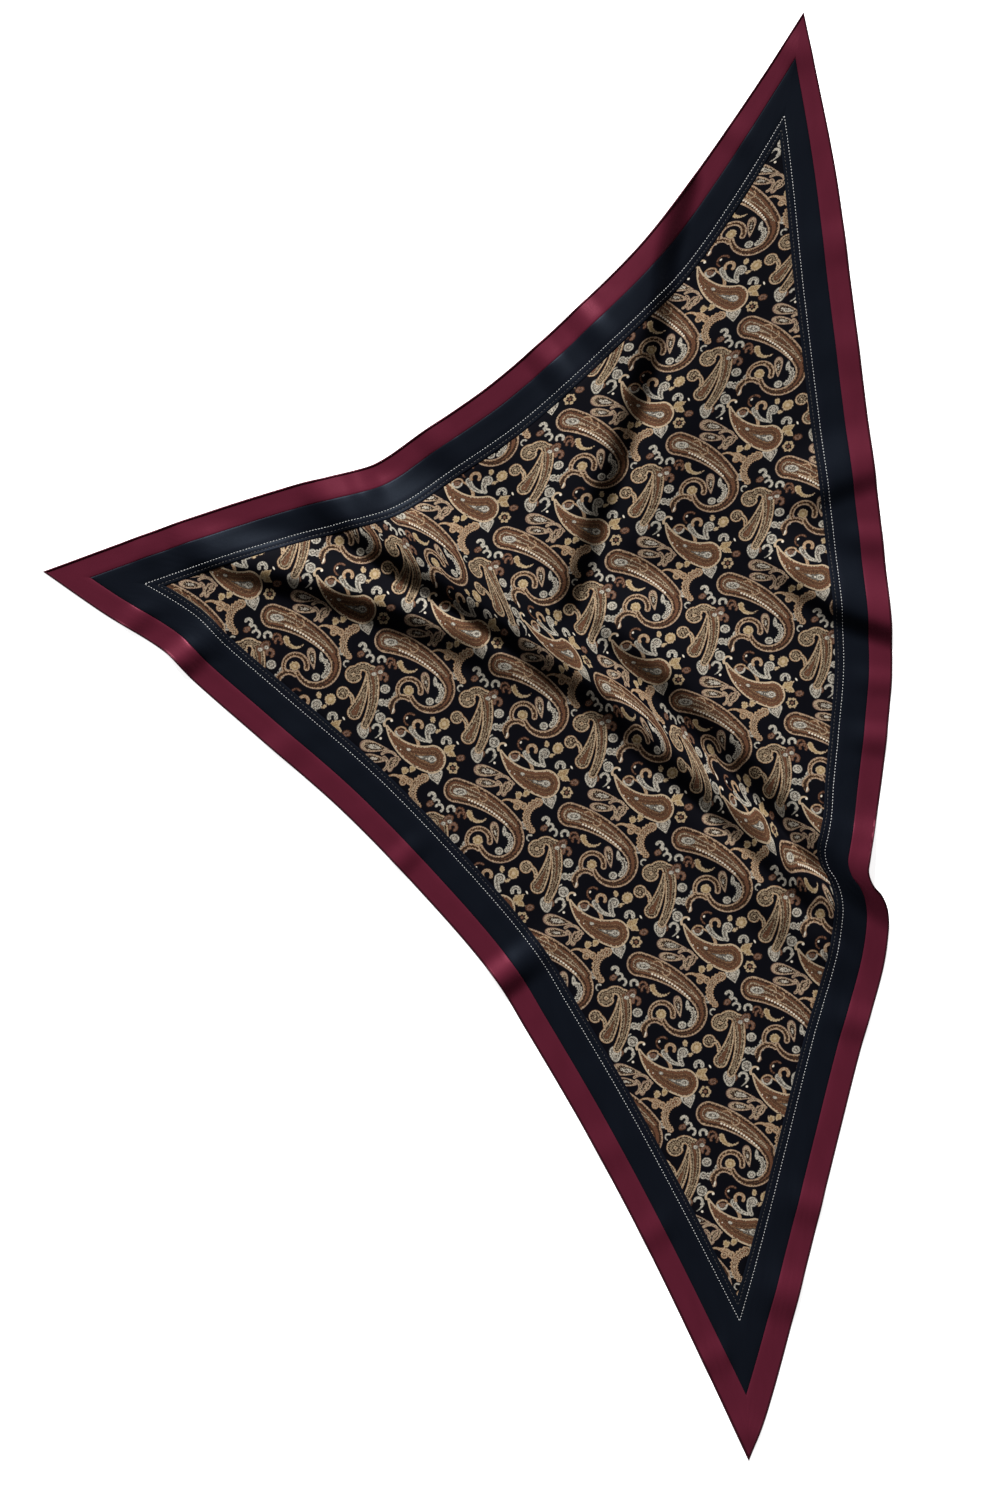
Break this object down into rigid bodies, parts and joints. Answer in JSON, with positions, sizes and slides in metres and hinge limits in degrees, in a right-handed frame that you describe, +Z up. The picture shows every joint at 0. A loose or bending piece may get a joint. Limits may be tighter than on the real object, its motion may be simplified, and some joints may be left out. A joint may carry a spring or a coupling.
{
  "type": "paisley scarf",
  "caption": "Triangular satin scarf laid out flat with soft folds: a paisley print inside a navy band and a wine border with a rolled hem and a running stitch.",
  "frame": {"origin": "on the surface the scarf lies on, below the middle of its bounding box", "axes": "+Z up from the surface, +Y along the scarf's longest reach towards the upper tip, +X towards the long edge, away from the right-angled corner"},
  "size_m": [0.6798, 1.1593, 0.0163],
  "materials": {
    "printed_cloth": "soft printed satin, brown and tan paisley on near-black",
    "navy_satin": "dark navy satin with a white running stitch",
    "wine_satin": "wine red satin with a rolled hem"
  },
  "bodies": {
    "root": {"paisley_panel": "printed_cloth", "navy_band_upper": "navy_satin", "navy_band_lower": "navy_satin", "navy_band_long": "navy_satin", "wine_band_upper": "wine_satin", "wine_band_lower": "wine_satin", "wine_band_long": "wine_satin"}
  },
  "joints": []
}
